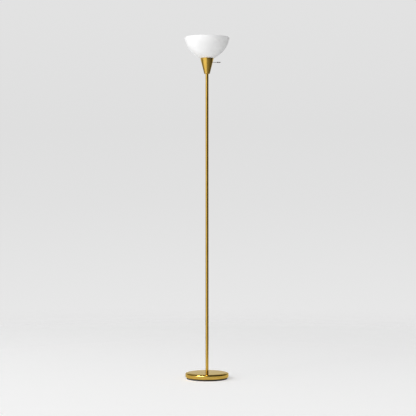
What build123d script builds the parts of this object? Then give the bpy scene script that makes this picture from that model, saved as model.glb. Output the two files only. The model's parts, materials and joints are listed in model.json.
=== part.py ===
import os
from math import atan2, pi, radians, sqrt, tan

from build123d import *

# Torchiere floor lamp: a weighted round base, a pole screwed together from four tubes, a conical
# cup that hides the lamp socket, and an open bowl shade that throws the light upwards.
# Units are millimetres. +Z is up, the origin is on the floor at the centre of the base,
# the switch key points along +X and the cord inlet faces +Y, which is the back of the lamp.

os.makedirs("parts", exist_ok=True)

# ---------------------------------------------------------------- driving dimensions
lamp_height = 1803.0  # floor to shade rim, 71 inches

base_radius = 114.5
base_height = 33.0
base_slope_run = 11.0  # the shoulder slopes down before it turns into the side wall
base_slope_drop = 4.0
base_top_rounding = 45.0  # from the flat top into the slope
base_shoulder_rounding = 5.0  # from the slope into the side wall
base_foot_rounding = 4.0
base_sheet = 1.0  # drawn steel
foot_pad_height = 8.5

pole_radius = 8.0
pole_wall = 0.8
pole_sections = 4

cup_foot_radius = 14.5
cup_rim_radius = 35.5
cup_foot_z = 1612.0
cup_rim_z = 1695.0
cup_sheet = 1.0

shade_rim_radius = 119.0
shade_arc_radius = 142.0
shade_wall = 3.0

switch_z = 1673.0  # height of the switch's turning axis
key_reach = 71.5  # tip of the switch key, measured from the pole's axis

# ---------------------------------------------------------------- shared small sizes
thread_radius = 5.0  # M10 x 1 lamp pipe
thread_bore = 3.5  # hole through the pipe, for the leads
threaded_hole = 5.05
clearance_hole = 5.3
thread_depth = 14.5  # how far a pipe reaches into each end bush
bush_length = 15.0
bush_inset = 0.4
fit_gap = 0.05
nut_across_flats = 14.0

base_inside_top = base_height - base_sheet
plate_bottom = foot_pad_height + base_sheet
plate_top = plate_bottom + 1.0
inlet_z = 18.6
inlet_radius = 3.2

section_length = (cup_foot_z - base_height) / pole_sections
pole_joints = [base_height + section_length * (i + 1) for i in range(pole_sections - 1)]


def save(piece, name):
    """Labels a finished piece and writes it as its own STEP file."""
    piece.part.label = name
    export_step(piece.part, f"parts/{name}.step")


def ring(outer, inner, bottom, top, edge=0.0):
    """A washer, bush or tube round +Z, with both outer edges broken by a chamfer of size edge."""
    with BuildPart() as piece:
        with BuildSketch(Plane.XY.offset(bottom)):
            Circle(outer)
            Circle(inner, mode=Mode.SUBTRACT)
        extrude(amount=top - bottom)
        if edge:
            ends = piece.edges().filter_by(GeomType.CIRCLE)
            chamfer([e for e in ends if abs(e.radius - outer) < 1e-6], length=edge)
    return piece


def lamp_pipe(bottom, top):
    """Hollow threaded pipe that joins two parts and lets the leads through."""
    return ring(thread_radius, thread_bore, bottom, top, edge=0.4)


def hex_nut(bottom, height):
    with BuildPart() as piece:
        with BuildSketch(Plane.XY.offset(bottom)):
            RegularPolygon(nut_across_flats / 2, 6, major_radius=False)
            Circle(threaded_hole, mode=Mode.SUBTRACT)
        extrude(amount=height)
        # a cone on each side takes the nut's corners off
        with BuildSketch(Plane.XZ):
            with BuildLine():
                Polyline(
                    (0, bottom),
                    (nut_across_flats / 2, bottom),
                    (nut_across_flats / 2 + 1.2, bottom + 0.7),
                    (nut_across_flats / 2 + 1.2, bottom + height - 0.7),
                    (nut_across_flats / 2, bottom + height),
                    (0, bottom + height),
                    close=True,
                )
            make_face()
        revolve(axis=Axis.Z, mode=Mode.INTERSECT)
    return piece


def slotted_screw(head_bottom, head_height, head_radius, shank_radius, shank_top):
    """Screw on the +Z axis with its head below, its shank upwards and a driver slot."""
    with BuildPart() as piece:
        with BuildSketch(Plane.XY.offset(head_bottom)):
            Circle(head_radius)
        extrude(amount=head_height)
        chamfer(piece.edges().group_by(Axis.Z)[0], length=0.5)
        with BuildSketch(Plane.XY.offset(head_bottom + head_height)):
            Circle(shank_radius)
        extrude(amount=shank_top - head_bottom - head_height)
        with BuildSketch(Plane.XY.offset(head_bottom)):
            Rectangle(2 * head_radius, 0.7)
        extrude(amount=0.5 * head_height, mode=Mode.SUBTRACT)
    return piece


# ================================================================ BASE
# Foam ring under the base: it keeps the steel off the floor.
with BuildPart() as foot_pad:
    with BuildSketch():
        Circle(base_radius - base_foot_rounding - 2.5)
        Circle(42, mode=Mode.SUBTRACT)
    extrude(amount=foot_pad_height)
save(foot_pad, "foot_pad")

# Drawn steel cover: flat top, sloping shoulder, upright side and a lip curled in under the plate.
lip_radius = base_radius - 9.5
slope_angle = atan2(base_slope_drop, base_slope_run)
slope_start = base_radius - base_slope_run
inner_slope_start = slope_start - base_sheet * tan(slope_angle / 2)
slope_end = base_height - base_slope_drop
inner_slope_end = slope_end - base_sheet * tan((pi / 2 - slope_angle) / 2)
with BuildPart() as base_cover:
    with BuildSketch(Plane.XZ):
        with BuildLine():
            outside = FilletPolyline(
                (clearance_hole, base_height),
                (slope_start, base_height),
                (base_radius, slope_end),
                (base_radius, foot_pad_height),
                (lip_radius, foot_pad_height),
                radius=[base_top_rounding, base_shoulder_rounding, base_foot_rounding],
            )
            inside = FilletPolyline(
                (clearance_hole, base_inside_top),
                (inner_slope_start, base_inside_top),
                (base_radius - base_sheet, inner_slope_end),
                (base_radius - base_sheet, plate_bottom),
                (lip_radius, plate_bottom),
                radius=[
                    base_top_rounding - base_sheet,
                    base_shoulder_rounding - base_sheet,
                    base_foot_rounding - base_sheet,
                ],
            )
            Line(outside @ 0, inside @ 0)
            Line(outside @ 1, inside @ 1)
        make_face()
    revolve(axis=Axis.Z)
    # hole for the cord bushing, through the back of the side wall
    with BuildSketch(Plane.XZ.offset(-(base_radius - 10))):
        with Locations((0, inlet_z)):
            Circle(5.5)
    extrude(amount=-20, mode=Mode.SUBTRACT)
save(base_cover, "base_cover")

# Steel plate that closes the underside, held by the curled lip.
base_plate = ring(base_radius - base_foot_rounding - 0.5, 22, plate_bottom, plate_top)
save(base_plate, "base_plate")

# Cast weight with a boss under the pole, a recess for the nut and a channel for the leads.
weight_top = 27.0
web_bottom = 25.0
channel_top = 24.8
with BuildPart() as base_weight:
    with BuildSketch(Plane.XY.offset(plate_top)):
        Circle(base_radius - 2.5)
    extrude(amount=weight_top - plate_top)
    fillet(base_weight.edges().group_by(Axis.Z)[-1], radius=2.0)
    chamfer(base_weight.edges().group_by(Axis.Z)[0], length=1.0)
    with BuildSketch(Plane.XY.offset(weight_top)):
        Circle(30)
    extrude(amount=base_inside_top - weight_top)
    with BuildSketch(Plane.XY.offset(plate_top)):
        Circle(21)
    extrude(amount=web_bottom - plate_top, mode=Mode.SUBTRACT)
    with BuildSketch(Plane.XY.offset(web_bottom)):
        Circle(5.5)
    extrude(amount=base_height - web_bottom, mode=Mode.SUBTRACT)
    with BuildSketch(Plane.XY.offset(plate_top)):
        with Locations((0, base_radius / 2)):
            Rectangle(13, base_radius)
    extrude(amount=channel_top - plate_top, mode=Mode.SUBTRACT)
save(base_weight, "base_weight")

# Snap-in cord bushing: an outside flange, a barrel through the wall and a ring that snaps behind it.
bushing_outer_end = base_radius + 1.8
bushing_inner_end = base_radius - 10.5
with BuildPart() as cord_bushing:
    with BuildSketch(Plane.YZ):
        with BuildLine():
            Polyline(
                (bushing_inner_end, inlet_z + inlet_radius),
                (bushing_outer_end, inlet_z + inlet_radius),
                (bushing_outer_end, inlet_z + 6.0),
                (base_radius, inlet_z + 6.0),
                (base_radius, inlet_z + 5.4),
                (base_radius - 1.5, inlet_z + 5.4),
                (base_radius - 1.5, inlet_z + 6.0),
                (base_radius - 3.5, inlet_z + 5.4),
                (bushing_inner_end, inlet_z + 4.8),
                close=True,
            )
        make_face()
    revolve(axis=Axis((0, 0, inlet_z), (0, 1, 0)))
    mouth = cord_bushing.edges().filter_by(GeomType.CIRCLE).group_by(Axis.Y)[-1]
    fillet([e for e in mouth if e.radius < 4], radius=0.8)
    rim = cord_bushing.edges().filter_by(GeomType.CIRCLE).group_by(Axis.Y)[-1]
    fillet([e for e in rim if e.radius > 5], radius=0.7)
save(cord_bushing, "cord_bushing")

# Clamping stack under the base: pipe, washer, toothed lock washer and nut.
washer_bottom = web_bottom - 1.6
lock_bottom = washer_bottom - 1.2
nut_height = 3.0
base_nipple = lamp_pipe(lock_bottom - nut_height - 0.8, base_height + thread_depth)
save(base_nipple, "base_nipple")
base_washer = ring(12.0, clearance_hole, washer_bottom, web_bottom, edge=0.2)
save(base_washer, "base_washer")
with BuildPart() as base_lock_washer:
    with BuildSketch(Plane.XY.offset(lock_bottom)):
        Circle(8.6)
        Circle(5.2, mode=Mode.SUBTRACT)
        with PolarLocations(8.6, 12):
            Rectangle(1.8, 1.5, mode=Mode.SUBTRACT)
    extrude(amount=washer_bottom - lock_bottom)
save(base_lock_washer, "base_lock_washer")
base_nut = hex_nut(lock_bottom - nut_height, nut_height)
save(base_nut, "base_nut")

# ================================================================ POLE
section_names = ["pole_bottom", "pole_lower_middle", "pole_upper_middle", "pole_top"]
for number, section_name in enumerate(section_names):
    section_bottom = base_height + number * section_length
    section_top = section_bottom + section_length
    tube = ring(pole_radius, pole_radius - pole_wall, section_bottom, section_top, edge=0.35)
    save(tube, section_name)
    # a threaded bush is pressed into each end of every tube
    bush_bottoms = {"lower": section_bottom + bush_inset, "upper": section_top - bush_inset - bush_length}
    for end, low in bush_bottoms.items():
        bush = ring(pole_radius - pole_wall - fit_gap, threaded_hole, low, low + bush_length, edge=0.5)
        save(bush, f"{section_name}_{end}_bush")

for number, joint_z in enumerate(pole_joints, start=1):
    save(lamp_pipe(joint_z - 14, joint_z + 14), f"coupling_nipple_{number}")

# ================================================================ CUP
cup_slope = (cup_rim_radius - cup_foot_radius) / (cup_rim_z - cup_foot_z)
cup_wall_across = cup_sheet * sqrt(1 + cup_slope**2)  # sheet thickness measured level
cup_floor_z = cup_foot_z + 1.2


def cup_inside(z):
    """Inside radius of the cup's cone at height z."""
    return cup_foot_radius + (z - cup_foot_z) * cup_slope - cup_wall_across


with BuildPart() as cup:
    with BuildSketch(Plane.XZ):
        with BuildLine():
            outside = FilletPolyline(
                (clearance_hole, cup_foot_z),
                (cup_foot_radius, cup_foot_z),
                (cup_rim_radius, cup_rim_z),
                radius=1.5,
            )
            inside = FilletPolyline(
                (clearance_hole, cup_floor_z),
                (cup_inside(cup_floor_z), cup_floor_z),
                (cup_inside(cup_rim_z), cup_rim_z),
                radius=0.6,
            )
            Line(outside @ 0, inside @ 0)
            Line(outside @ 1, inside @ 1)
        make_face()
    revolve(axis=Axis.Z)
    fillet(cup.edges().filter_by(GeomType.CIRCLE).group_by(Axis.Z)[-1], radius=0.35)
    # hole for the switch stem
    with BuildSketch(Plane.YZ.offset(20)):
        with Locations((0, switch_z)):
            Circle(4.5)
    extrude(amount=15, mode=Mode.SUBTRACT)
save(cup, "cup")

head_nipple = lamp_pipe(cup_foot_z - thread_depth, 1661.0)
save(head_nipple, "head_nipple")
cup_washer = ring(10.5, clearance_hole, cup_floor_z, cup_floor_z + 1.2, edge=0.2)
save(cup_washer, "cup_washer")
cup_nut = hex_nut(cup_floor_z + 1.2, 3.5)
save(cup_nut, "cup_nut")

# ================================================================ SOCKET
hub_bottom = 1646.0
cap_bottom = 1653.0
cap_floor = 1656.0
cap_radius = 19.5
cap_inside = 17.3
body_bottom = 1690.0  # the cap ends and the socket body begins here
body_floor = 1693.0
body_top = 1717.0
body_bore = 14.4
thread_pitch = 3.0
thread_depth_outside = 0.9

# Metal hub: screws onto the pipe and is locked by a set screw in its neck.
set_screw_z = 1649.5
with BuildPart() as socket_hub:
    with BuildSketch(Plane.XY.offset(hub_bottom)):
        Circle(7.4)
        Circle(threaded_hole, mode=Mode.SUBTRACT)
    extrude(amount=17)
    with BuildSketch(Plane.XY.offset(cap_floor)):
        Circle(10)
        Circle(threaded_hole, mode=Mode.SUBTRACT)
    extrude(amount=2)
    with BuildSketch(Plane.XZ):
        with Locations((0, set_screw_z)):
            Circle(1.55)
    extrude(amount=-10, mode=Mode.SUBTRACT)
save(socket_hub, "socket_hub")

with BuildPart() as hub_set_screw:
    with BuildSketch(Plane.XZ.offset(-(thread_radius + fit_gap))):
        with Locations((0, set_screw_z)):
            Circle(1.5)
    extrude(amount=-4)
    with BuildSketch(Plane.XZ.offset(-(thread_radius + fit_gap + 4))):
        with Locations((0, set_screw_z)):
            Rectangle(3, 0.5)
    extrude(amount=1.2, mode=Mode.SUBTRACT)
save(hub_set_screw, "hub_set_screw")

# Moulded lower half of the socket, which holds the switch.
screw_spots = [(-8.2, 8.2), (-8.2, -8.2)]
with BuildPart() as socket_cap:
    with BuildSketch(Plane.XZ):
        with BuildLine():
            Polyline(
                (7.5, cap_bottom),
                (15, cap_bottom),
                (cap_radius, cap_bottom + 7),
                (cap_radius, body_bottom),
                (cap_inside, body_bottom),
                (cap_inside, cap_floor + 5),
                (14, cap_floor),
                (7.5, cap_floor),
                close=True,
            )
        make_face()
    revolve(axis=Axis.Z)
    with BuildSketch(Plane.YZ.offset(10)):
        with Locations((0, switch_z)):
            Circle(4.1)
    extrude(amount=12, mode=Mode.SUBTRACT)
    with BuildSketch(Plane.XY.offset(cap_bottom)):
        with Locations(*screw_spots):
            Circle(1.5)
    extrude(amount=3, mode=Mode.SUBTRACT)
save(socket_cap, "socket_cap")

# Two long screws hold the cap to the body.
long_screw = slotted_screw(cap_bottom - 1.8, 1.8, 2.5, 1.3, body_bottom + 2)
with BuildPart() as socket_screws:
    with Locations(*screw_spots):
        add(long_screw.part)
save(socket_screws, "socket_screws")

# Moulded upper half: floor, shade flange, and a sleeve with an outside thread for the shade ring.
terminal_spots = [(0, 10.5), (0, -10.5)]
thread_start = 1699.0
thread_turns = 6
thread_outline = []
for turn in range(thread_turns):
    low = thread_start + turn * thread_pitch
    thread_outline += [
        (cap_radius, low),
        (cap_radius - thread_depth_outside, low + 0.35 * thread_pitch),
        (cap_radius - thread_depth_outside, low + 0.55 * thread_pitch),
        (cap_radius, low + 0.9 * thread_pitch),
    ]
with BuildPart() as socket_body:
    with BuildSketch(Plane.XZ):
        with BuildLine():
            Polyline(
                (0, body_bottom),
                (cap_radius, body_bottom),
                (cap_radius, 1692.4),
                (26, 1692.4),
                (26, cup_rim_z),
                (cap_radius, cup_rim_z),
                *thread_outline,
                (cap_radius - 0.6, body_top),
                (body_bore, body_top),
                (body_bore, body_floor),
                (0, body_floor),
                close=True,
            )
        make_face()
    revolve(axis=Axis.Z)
    # blind holes for the terminal screws and the long screws
    with BuildSketch(Plane.XY.offset(body_bottom)):
        with Locations(*terminal_spots):
            Circle(1.6)
        with Locations(*screw_spots):
            Circle(1.4)
    extrude(amount=2.2, mode=Mode.SUBTRACT)
save(socket_body, "socket_body")

# Rolled-thread shell that the bulb screws into.
bulb_pitch = 3.63  # seven threads to the inch
shell_crest = 13.5  # clears the bulb's thread, so that the bulb can lift straight out
shell_root = 13.85
shell_sheet = 0.4
shell_bottom = 1697.0
shell_turns = 5
shell_inside = []
shell_outside = []
for turn in range(shell_turns):
    low = shell_bottom + turn * bulb_pitch
    shell_inside += [
        (shell_crest, low),
        (shell_crest, low + 0.2 * bulb_pitch),
        (shell_root, low + 0.5 * bulb_pitch),
        (shell_root, low + 0.7 * bulb_pitch),
    ]
    shell_outside += [
        (shell_crest + shell_sheet, low + 0.2 * bulb_pitch),
        (shell_root + shell_sheet, low + 0.5 * bulb_pitch),
        (shell_root + shell_sheet, low + 0.7 * bulb_pitch),
        (shell_crest + shell_sheet, low + 1.0 * bulb_pitch),
    ]
shell_top = shell_bottom + shell_turns * bulb_pitch
with BuildPart() as screw_shell:
    with BuildSketch(Plane.XZ):
        with BuildLine():
            Polyline(
                *shell_inside,
                (shell_crest, shell_top),
                *reversed(shell_outside),
                (shell_crest + shell_sheet, shell_bottom - 1),
                (9.0, shell_bottom - 1),
                (9.0, shell_bottom - 1 + shell_sheet),
                (shell_crest, shell_bottom - 1 + shell_sheet),
                close=True,
            )
        make_face()
    revolve(axis=Axis.Z)
save(screw_shell, "screw_shell")

# Springy centre contact, bent from brass strip.
contact_tip = 1695.3
with BuildPart() as centre_contact:
    with BuildSketch(Plane.XZ.offset(2.5)):
        with BuildLine():
            Polyline(
                (-7.5, body_floor),
                (-2.0, body_floor),
                (1.5, contact_tip - 0.5),
                (4.0, contact_tip - 0.5),
                (4.0, contact_tip),
                (1.3, contact_tip),
                (-2.3, body_floor + 0.5),
                (-7.5, body_floor + 0.5),
                close=True,
            )
        make_face()
    extrude(amount=-5)
save(centre_contact, "centre_contact")

# Terminal plates under the body's floor, with their screws.
with BuildPart() as terminal_plates:
    with BuildSketch(Plane.XY.offset(body_bottom - 0.8)):
        with Locations(*terminal_spots):
            RectangleRounded(10, 8, 1.0)
            Circle(1.6, mode=Mode.SUBTRACT)
    extrude(amount=0.8)
save(terminal_plates, "terminal_plates")

terminal_screw = slotted_screw(body_bottom - 2.8, 2.0, 3.2, 1.5, body_bottom + 2)
with BuildPart() as terminal_screws:
    with Locations(*terminal_spots):
        add(terminal_screw.part)
save(terminal_screws, "terminal_screws")

# ---------------------------------------------------------------- switch, fixed parts
bush_start = 14.0
bush_end = 25.5
stem_radius = 1.5
with BuildPart() as switch_bush:
    with BuildSketch(Plane.YZ.offset(bush_start)):
        with Locations((0, switch_z)):
            Circle(6.3)
    extrude(amount=1.7)
    with BuildSketch(Plane.YZ.offset(bush_start)):
        with Locations((0, switch_z)):
            Circle(4.0)
    extrude(amount=bush_end - bush_start)
    with BuildSketch(Plane.YZ.offset(bush_start)):
        with Locations((0, switch_z)):
            Circle(stem_radius + 0.08)
    extrude(amount=bush_end - bush_start, mode=Mode.SUBTRACT)
save(switch_bush, "switch_bush")

with BuildPart() as switch_nut:
    with BuildSketch(Plane.YZ.offset(cap_radius + 0.1)):
        with Locations((0, switch_z)):
            RegularPolygon(5.5, 6, major_radius=False)
            Circle(4.0 + fit_gap, mode=Mode.SUBTRACT)
    extrude(amount=2.2)
save(switch_nut, "switch_nut")

# Contact blade: a strip hung from the body's floor, which the rotor's corners press.
rotor_start = 4.5
rotor_end = 12.0
blade_z = switch_z + 6.3
stem_end = 62.0
with BuildPart() as switch_blade:
    with BuildSketch(Plane.YZ.offset(6)):
        with BuildLine():
            Polyline(
                (9.0, body_bottom),
                (4.4, body_bottom),
                (4.4, body_bottom - 0.5),
                (6.6, body_bottom - 0.5),
                (6.6, blade_z + 0.5),
                (-5.0, blade_z + 0.5),
                (-5.0, blade_z),
                (7.1, blade_z),
                (7.1, body_bottom - 0.5),
                (9.0, body_bottom - 0.5),
                close=True,
            )
        make_face()
    extrude(amount=4.5)
save(switch_blade, "switch_blade")

# ---------------------------------------------------------------- switch, turning parts
with BuildPart() as switch_stem:
    with BuildSketch(Plane.YZ.offset(rotor_start)):
        with Locations((0, switch_z)):
            Circle(stem_radius)
    extrude(amount=stem_end - rotor_start)
save(switch_stem, "switch_stem")

with BuildPart() as switch_rotor:
    with BuildSketch(Plane.YZ.offset(rotor_start)):
        with Locations((0, switch_z)):
            RectangleRounded(9.2, 9.2, 1.5)
            Circle(stem_radius + fit_gap, mode=Mode.SUBTRACT)
    extrude(amount=rotor_end - rotor_start)
save(switch_rotor, "switch_rotor")

# Flat die-cast key: a short hub on the stem that widens into a rounded paddle.
key_start = 53.0
key_thickness = 4.0
paddle_radius = 5.0
with BuildPart() as turn_key:
    with BuildSketch(Plane.XY.offset(switch_z - key_thickness / 2)):
        with Locations((key_start + 5, 0)):
            Circle(2.6)
        with Locations((key_reach - paddle_radius, 0)):
            Circle(paddle_radius)
        make_hull()
    extrude(amount=key_thickness)
    fillet(turn_key.edges().filter_by(GeomType.LINE).filter_by(Plane.XY), radius=0.9)
    with BuildSketch(Plane.YZ.offset(key_start)):
        with Locations((0, switch_z)):
            Circle(2.9)
    extrude(amount=5)
    # grip grooves across both faces
    for groove_x in (61.5, 64.0, 66.5):
        for side in (-1, 1):
            with BuildSketch(Plane.XZ.offset(6)):
                with Locations((groove_x, switch_z + side * (key_thickness / 2 + 0.15))):
                    Circle(0.55)
            extrude(amount=-12, mode=Mode.SUBTRACT)
    with BuildSketch(Plane.YZ.offset(key_start)):
        with Locations((0, switch_z)):
            Circle(stem_radius + fit_gap)
    extrude(amount=10, mode=Mode.SUBTRACT)
save(turn_key, "turn_key")

# ================================================================ SHADE
# The bowl's outline is one arc from the cup's rim to the shade's rim. Its centre follows from
# the two ends and the radius.
shade_floor_z = cup_rim_z + shade_wall
arc_rise = lamp_height - cup_rim_z
arc_run = shade_rim_radius - cup_rim_radius
chord = sqrt(arc_rise**2 + arc_run**2)
centre_offset = sqrt(shade_arc_radius**2 - (chord / 2) ** 2)
arc_centre_r = (cup_rim_radius + shade_rim_radius) / 2 - centre_offset * arc_rise / chord
arc_centre_z = (cup_rim_z + lamp_height) / 2 + centre_offset * arc_run / chord


def bowl_radius(z, arc_radius):
    """Radius of the bowl's surface at height z, for the outer or the inner arc."""
    return arc_centre_r + sqrt(arc_radius**2 - (arc_centre_z - z) ** 2)


inner_arc = shade_arc_radius - shade_wall
shade_hole = cap_radius + 0.6
inner_foot = (bowl_radius(shade_floor_z, inner_arc), shade_floor_z)
inner_rim = (bowl_radius(lamp_height, inner_arc), lamp_height)
with BuildPart() as shade:
    with BuildSketch(Plane.XZ):
        with BuildLine():
            Line((shade_hole, cup_rim_z), (cup_rim_radius, cup_rim_z))
            RadiusArc((cup_rim_radius, cup_rim_z), (shade_rim_radius, lamp_height), -shade_arc_radius)
            Line((shade_rim_radius, lamp_height), inner_rim)
            RadiusArc(inner_rim, inner_foot, inner_arc)
            Line(inner_foot, (shade_hole, shade_floor_z))
            Line((shade_hole, shade_floor_z), (shade_hole, cup_rim_z))
        make_face()
    revolve(axis=Axis.Z)
    fillet(shade.edges().filter_by(GeomType.CIRCLE).group_by(Axis.Z)[-1], radius=1.3)
save(shade, "shade")

# Threaded ring that clamps the shade onto the socket's flange.
ring_flange_top = shade_floor_z + 2.5
with BuildPart() as shade_ring:
    with BuildSketch(Plane.XY.offset(shade_floor_z)):
        Circle(30)
        Circle(cap_radius + 0.1, mode=Mode.SUBTRACT)
        with PolarLocations(30.6, 18):
            Circle(1.6, mode=Mode.SUBTRACT)
    extrude(amount=ring_flange_top - shade_floor_z)
    with BuildSketch(Plane.XY.offset(ring_flange_top)):
        Circle(24)
        Circle(cap_radius + 0.1, mode=Mode.SUBTRACT)
    extrude(amount=5.5)
    top_edges = shade_ring.edges().filter_by(GeomType.CIRCLE).group_by(Axis.Z)[-1]
    fillet(top_edges.sort_by(SortBy.RADIUS)[-1], radius=1.0)
save(shade_ring, "shade_ring")

# ================================================================ BULB
# Household LED bulb with a 26 mm screw cap. Its thread clears the shell's, so that the model's
# bulb can lift straight out.
bulb_tip = 1695.6
cap_crest = 13.1
cap_root = 12.4
cap_thread_start = 1703.0
cap_turns = 4
skirt_top = 1722.0
cap_sheet = 0.5

with BuildPart() as bulb_contact:
    with BuildSketch(Plane.XY.offset(bulb_tip)):
        Circle(4.5)
    extrude(amount=1.6)
    fillet(bulb_contact.edges().group_by(Axis.Z)[0], radius=1.2)
save(bulb_contact, "bulb_contact")

with BuildPart() as bulb_insulator:
    with BuildSketch(Plane.XZ):
        with BuildLine():
            Polyline(
                (0, bulb_tip + 1.6),
                (5.2, bulb_tip + 1.6),
                (9.4, 1700.6),
                (9.4, 1702.2),
                (0, 1702.2),
                close=True,
            )
        make_face()
    revolve(axis=Axis.Z)
save(bulb_insulator, "bulb_insulator")

cap_outline = []
for turn in range(cap_turns):
    low = cap_thread_start + turn * bulb_pitch
    cap_outline += [
        (cap_root, low),
        (cap_crest, low + 0.3 * bulb_pitch),
        (cap_crest, low + 0.5 * bulb_pitch),
        (cap_root, low + 0.8 * bulb_pitch),
    ]
with BuildPart() as bulb_cap:
    with BuildSketch(Plane.XZ):
        with BuildLine():
            Polyline(
                (9.5, 1700.6),
                *cap_outline,
                (13.0, 1719.0),
                (13.0, skirt_top),
                (13.0 - cap_sheet, skirt_top),
                (13.0 - cap_sheet, 1719.0),
                (cap_root - cap_sheet, 1717.4),
                (cap_root - cap_sheet, cap_thread_start + 0.3),
                (9.5, 1701.4),
                close=True,
            )
        make_face()
    revolve(axis=Axis.Z)
save(bulb_cap, "bulb_cap")

# Flared plastic housing between the cap and the dome.
housing_top = 1762.0
with BuildPart() as bulb_housing:
    with BuildSketch(Plane.XZ):
        with BuildLine():
            Line((10.5, 1718.5), (11.7, 1718.5))
            Line((11.7, 1718.5), (12.3, 1719.5))
            Line((12.3, 1719.5), (12.3, skirt_top + 0.2))
            Line((12.3, skirt_top + 0.2), (13.8, skirt_top + 0.2))
            Line((13.8, skirt_top + 0.2), (15.0, 1726.0))
            Spline((15.0, 1726.0), (22.5, 1742.0), (29.3, housing_top), tangents=((0.15, 1), (0.1, 1)))
            Line((29.3, housing_top), (28.0, housing_top))
            Line((28.0, housing_top), (28.0, 1758.0))
            Line((28.0, 1758.0), (25.8, 1758.0))
            Spline((25.8, 1758.0), (20.6, 1741.5), (13.4, 1727.0), tangents=((-0.2, -1), (-0.2, -1)))
            Line((13.4, 1727.0), (10.5, 1722.0))
            Line((10.5, 1722.0), (10.5, 1718.5))
        make_face()
    revolve(axis=Axis.Z)
save(bulb_housing, "bulb_housing")

led_board_z = 1758.0
with BuildPart() as bulb_led_board:
    with BuildSketch(Plane.XY.offset(led_board_z)):
        Circle(27.0)
        Circle(2.5, mode=Mode.SUBTRACT)
    extrude(amount=1.2)
    with BuildSketch(Plane.XY.offset(led_board_z + 1.2)):
        with PolarLocations(18, 9):
            Rectangle(3.0, 3.0)
    extrude(amount=0.7)
save(bulb_led_board, "bulb_led_board")

with BuildPart() as bulb_driver_board:
    with BuildSketch(Plane.XZ.offset(0.8)):
        with Locations((0, 1728)):
            Rectangle(17, 44)
    extrude(amount=-1.6)
    with BuildSketch(Plane.XZ.offset(0.8)):
        with Locations((1.5, 1740)):
            Rectangle(11, 9)
        with Locations((0, 1723)):
            Circle(3.6)
    extrude(amount=6)
save(bulb_driver_board, "bulb_driver_board")

# Opal dome: a ball of 60 mm with a short neck that sits inside the housing's rim.
dome_radius = 30.0
dome_centre_z = 1768.6
dome_wall = 1.5
dome_edge = sqrt(dome_radius**2 - (dome_centre_z - housing_top) ** 2)
inner_radius = dome_radius - dome_wall
neck_top = 1760.0
inner_edge = sqrt(inner_radius**2 - (dome_centre_z - neck_top) ** 2)
with BuildPart() as bulb_dome:
    with BuildSketch(Plane.XZ):
        with BuildLine():
            dome_top = (0, dome_centre_z + dome_radius)
            RadiusArc(dome_top, (dome_edge, housing_top), dome_radius, short_sagitta=True)
            Line((dome_edge, housing_top), (27.9, housing_top))
            Line((27.9, housing_top), (27.9, led_board_z + 1.4))
            Line((27.9, led_board_z + 1.4), (26.6, led_board_z + 1.4))
            Line((26.6, led_board_z + 1.4), (inner_edge, neck_top))
            RadiusArc((inner_edge, neck_top), (0, dome_centre_z + inner_radius), -inner_radius)
            Line((0, dome_centre_z + inner_radius), dome_top)
        make_face()
    revolve(axis=Axis.Z)
save(bulb_dome, "bulb_dome")

# ================================================================ LEADS
# Two insulated leads, from the terminals down the pole and along the base's channel to just
# inside the cord bushing. side is +1 for the lead on the back half and -1 for the front half.
lead_radius = 1.3
lead_spacing = 1.45
lead_end_y = bushing_inner_end - 4.0
channel_z = 13.6


def tangent_radii(points):
    """The largest arc that each corner's two runs leave room for."""
    radii = []
    for before, corner, after in zip(points, points[1:], points[2:]):
        run_in = Vector(*corner) - Vector(*before)
        run_out = Vector(*after) - Vector(*corner)
        turn = radians(run_in.get_angle(run_out))
        radii.append(0.45 * min(run_in.length, run_out.length) / tan(turn / 2))
    return radii


with BuildPart() as lamp_leads:
    for side in (1, -1):
        offset = side * lead_spacing
        corner_z = channel_z + offset
        lead_route = [
            (0, side * 10.5, body_bottom - 2.8),
            (0, side * 10.5, 1679.0),
            (0, offset, 1668.0),
            (0, offset, corner_z),
            (0, 40, corner_z),
            (0, 75, inlet_z + offset),
            (0, lead_end_y, inlet_z + offset),
        ]
        lead_radii = tangent_radii(lead_route)
        lead_radii[2] = 7.2 - offset  # the bend under the pipe, which the recess keeps small
        with BuildLine() as lead_line:
            FilletPolyline(*lead_route, radius=lead_radii)
        with BuildSketch(Plane(origin=lead_line.line @ 0, z_dir=lead_line.line % 0)):
            Circle(lead_radius)
        sweep(path=lead_line.line)
save(lamp_leads, "lamp_leads")
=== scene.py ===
import json
from math import cos, pi, radians, sin, sqrt, tau

import bmesh
import bpy
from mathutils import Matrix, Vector


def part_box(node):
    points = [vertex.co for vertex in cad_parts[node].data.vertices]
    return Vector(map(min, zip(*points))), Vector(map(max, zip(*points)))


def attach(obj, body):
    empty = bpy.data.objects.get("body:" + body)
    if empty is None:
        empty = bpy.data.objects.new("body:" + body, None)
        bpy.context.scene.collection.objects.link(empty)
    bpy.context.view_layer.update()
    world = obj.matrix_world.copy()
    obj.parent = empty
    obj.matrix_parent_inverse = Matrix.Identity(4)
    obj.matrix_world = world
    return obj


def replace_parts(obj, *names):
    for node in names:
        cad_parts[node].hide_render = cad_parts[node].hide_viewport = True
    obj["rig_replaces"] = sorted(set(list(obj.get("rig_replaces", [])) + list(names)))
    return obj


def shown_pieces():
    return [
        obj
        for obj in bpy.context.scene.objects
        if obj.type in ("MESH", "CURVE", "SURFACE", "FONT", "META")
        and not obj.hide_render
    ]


# Torchiere floor lamp: the looks of every piece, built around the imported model.
# Metres, +Z up, the switch key points to +X and the cord inlet faces +Y at the back.

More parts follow.
